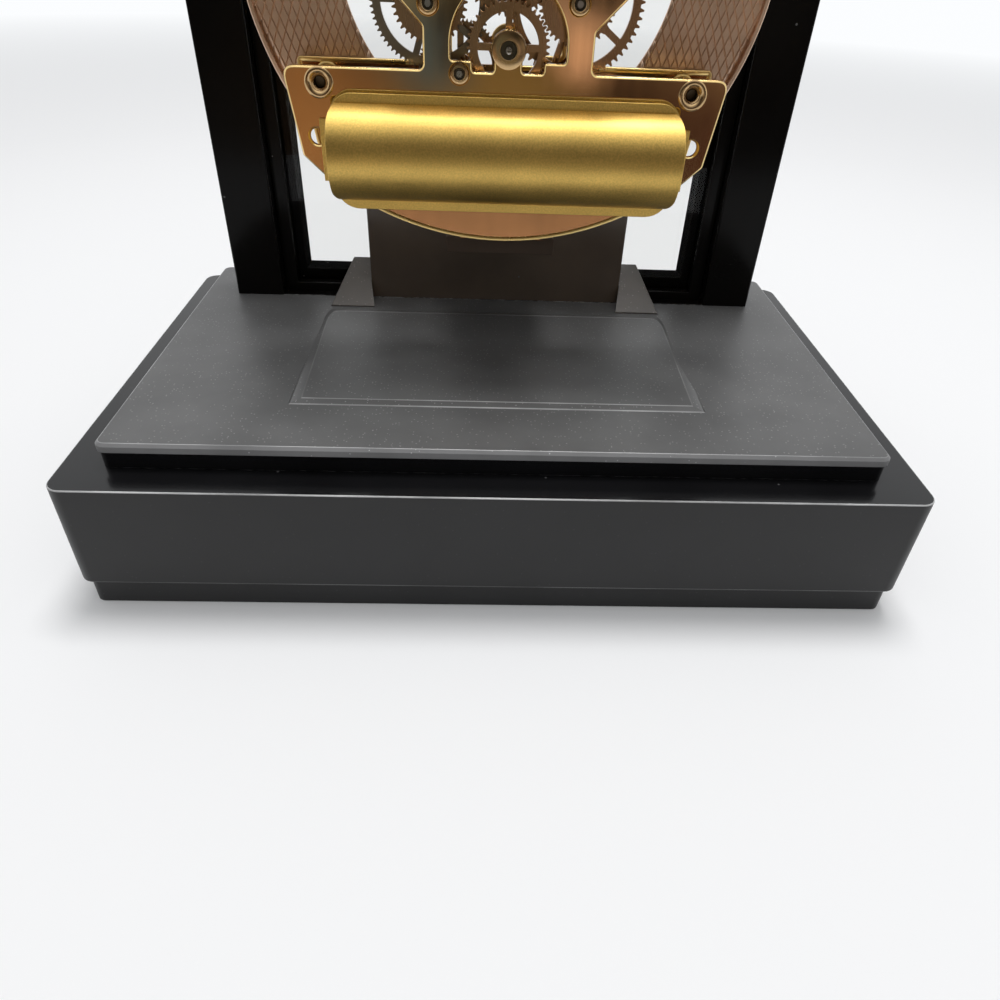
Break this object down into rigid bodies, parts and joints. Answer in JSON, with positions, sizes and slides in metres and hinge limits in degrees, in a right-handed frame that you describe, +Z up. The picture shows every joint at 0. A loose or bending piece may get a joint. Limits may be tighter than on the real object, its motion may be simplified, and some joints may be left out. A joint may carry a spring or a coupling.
{
  "type": "skeleton mantel clock",
  "caption": "Mantel clock with an open brass movement and ring dial behind glass in an arched black frame on a stepped plinth.",
  "frame": {"origin": "on the table under the middle of the base", "axes": "+Z up, the dial faces -Y, +X to the right of someone reading it"},
  "size_m": [0.154, 0.098, 0.164],
  "materials": {
    "gloss_black": "glossy moulded black",
    "satin_black": "fine-grained satin black",
    "rubber": "matt rubber",
    "screw_steel": "zinc plated",
    "clear_glass": "clear float glass",
    "plate_brass": "polished, coppery",
    "bush_brass": "polished",
    "dial_brass": "stamped diamond pattern behind, satin in front",
    "satin_gold": "satin gold lacquer",
    "cell_jacket": "printed sleeve without words",
    "contact_steel": "nickel plated",
    "motor_plastic": "moulded",
    "board_green": "solder resist",
    "pinion_plastic": "acetal",
    "arbor_steel": "turned",
    "wheel_brass": "stamped and polished",
    "hand_black": "black lacquer"
  },
  "bodies": {
    "case": {"plinth": "gloss_black", "front_frame": "gloss_black", "pedestal": "gloss_black", "glass_clips": "gloss_black", "deck": "satin_black", "bottom_cover": "satin_black", "rubber_feet": "rubber", "bottom_screws": "screw_steel", "deck_screws": "screw_steel", "frame_screws": "screw_steel", "pedestal_screws": "screw_steel", "movement_screws": "screw_steel", "glass_pane": "clear_glass", "front_plate": "plate_brass", "back_plate": "plate_brass", "pillars": "bush_brass", "front_bushes": "bush_brass", "rear_bushes": "bush_brass", "dial_studs": "bush_brass", "dial": "dial_brass", "battery_tray": "satin_gold", "battery_cell": "cell_jacket", "positive_contact": "contact_steel", "negative_contact": "contact_steel", "quartz_can": "contact_steel", "motor_unit": "motor_plastic", "circuit_board": "board_green"},
    "battery_cover": {"battery_cover": "satin_gold"},
    "motor": {"motor_pinion": "pinion_plastic"},
    "drive": {"drive_arbor": "arbor_steel", "drive_wheel": "wheel_brass"},
    "third": {"third_arbor": "arbor_steel", "third_wheel": "wheel_brass"},
    "centre": {"centre_arbor": "arbor_steel", "centre_wheel": "wheel_brass", "minute_hand": "hand_black", "hand_nut": "bush_brass"},
    "hour": {"hour_wheel": "wheel_brass", "hour_hand": "hand_black"},
    "minute_work": {"minute_arbor": "arbor_steel", "minute_wheel": "wheel_brass"},
    "setting": {"setting_arbor": "arbor_steel", "setting_wheel": "wheel_brass"}
  },
  "joints": [
    {"name": "battery_cover_slide", "type": "slide", "parent": "case", "child": "battery_cover", "axis": [0, 1, 0], "range_m": [0, 0.02]},
    {"name": "motor_spin", "type": "hinge", "parent": "case", "child": "motor", "pos_m": [0.0162, 0.004, 0.0826], "axis": [0, 1, 0], "continuous": true},
    {"name": "drive_spin", "type": "hinge", "parent": "case", "child": "drive", "pos_m": [0.008, 0.004, 0.085], "axis": [0, 1, 0], "continuous": true},
    {"name": "third_spin", "type": "hinge", "parent": "case", "child": "third", "pos_m": [0.013, 0.004, 0.0946], "axis": [0, 1, 0], "continuous": true},
    {"name": "minute_spin", "type": "hinge", "parent": "case", "child": "centre", "pos_m": [0, 0.004, 0.102], "axis": [0, 1, 0], "continuous": true},
    {"name": "hour_spin", "type": "hinge", "parent": "case", "child": "hour", "pos_m": [0, 0.004, 0.102], "axis": [0, 1, 0], "continuous": true},
    {"name": "minute_wheel_spin", "type": "hinge", "parent": "case", "child": "minute_work", "pos_m": [-0.011, 0.004, 0.0952], "axis": [0, 1, 0], "continuous": true},
    {"name": "setting_spin", "type": "hinge", "parent": "case", "child": "setting", "pos_m": [0, 0.004, 0.0886], "axis": [0, 1, 0], "continuous": true}
  ],
  "couplings": [
    {"joint": "third_spin", "follows": "minute_spin", "ratio": -1.5},
    {"joint": "drive_spin", "follows": "minute_spin", "ratio": 13.125},
    {"joint": "motor_spin", "follows": "minute_spin", "ratio": -60},
    {"joint": "minute_wheel_spin", "follows": "minute_spin", "ratio": -0.16667},
    {"joint": "hour_spin", "follows": "minute_spin", "ratio": 0.083333},
    {"joint": "setting_spin", "follows": "minute_spin", "ratio": 0.15152}
  ]
}
